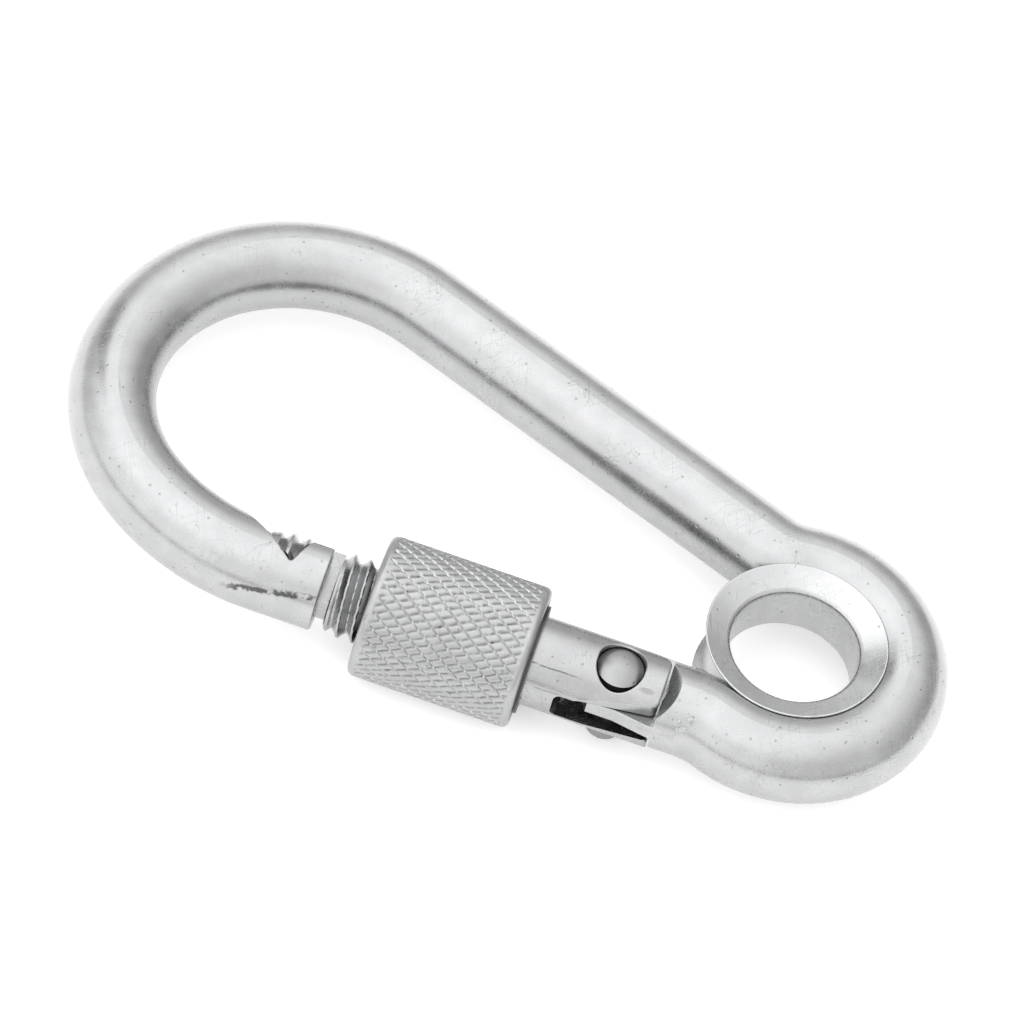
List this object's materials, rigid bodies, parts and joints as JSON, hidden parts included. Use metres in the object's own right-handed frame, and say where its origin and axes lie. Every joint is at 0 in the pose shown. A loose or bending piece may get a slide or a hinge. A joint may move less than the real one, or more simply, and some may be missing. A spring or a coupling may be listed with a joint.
{
  "type": "screw-lock snap hook",
  "caption": "Pear-shaped snap hook bent from round stainless wire, with an eyelet, a spring-closed gate and a knurled screw sleeve that locks it.",
  "frame": {"origin": "centre of the eyelet's bore, half way through its thickness", "axes": "+Z along the eyelet's bore, across the flat hook; +X along the gate from the crown to the eye; +Y from the gate to the spine"},
  "size_m": [0.0599, 0.0321, 0.0094],
  "materials": {
    "wire_steel": "tumbled satin",
    "gate_steel": "tumbled satin",
    "eyelet_steel": "satin",
    "rivet_steel": "bright",
    "spring_steel": "drawn wire",
    "sleeve_steel": "knurled"
  },
  "bodies": {
    "hook": {"hook_body": "wire_steel", "eyelet": "eyelet_steel", "pivot_rivet": "rivet_steel"},
    "gate": {"gate_arm": "gate_steel", "gate_spring": "spring_steel"},
    "plunger": {"gate_plunger": "rivet_steel"},
    "bush": {"sleeve_bush": "rivet_steel"},
    "sleeve": {"locking_sleeve": "sleeve_steel"}
  },
  "joints": [
    {"name": "gate_hinge", "type": "hinge", "parent": "hook", "child": "gate", "pos_m": [-0.00995, -0.00638, 0], "axis": [0, 0, -1], "range_deg": [0, 40], "stiffness_Nm_per_rad": 0.012, "springref_deg": -20.05},
    {"name": "plunger_slide", "type": "slide", "parent": "gate", "child": "plunger", "axis": [-1, 0, 0], "range_m": [0, 0.00087], "deforming": ["gate_spring"]},
    {"name": "sleeve_travel", "type": "slide", "parent": "gate", "child": "bush", "axis": [-1, 0, 0], "range_m": [0, 0.006]},
    {"name": "sleeve_turn", "type": "hinge", "parent": "bush", "child": "sleeve", "pos_m": [-0.021, -0.00638, 0], "axis": [-1, 0, 0], "range_deg": [0, 2160]}
  ],
  "couplings": [
    {"joint": "plunger_slide", "follows": "gate_hinge", "m_per_rad": 0.001232},
    {"joint": "sleeve_turn", "follows": "sleeve_travel", "rad_per_m": 6283.2}
  ]
}
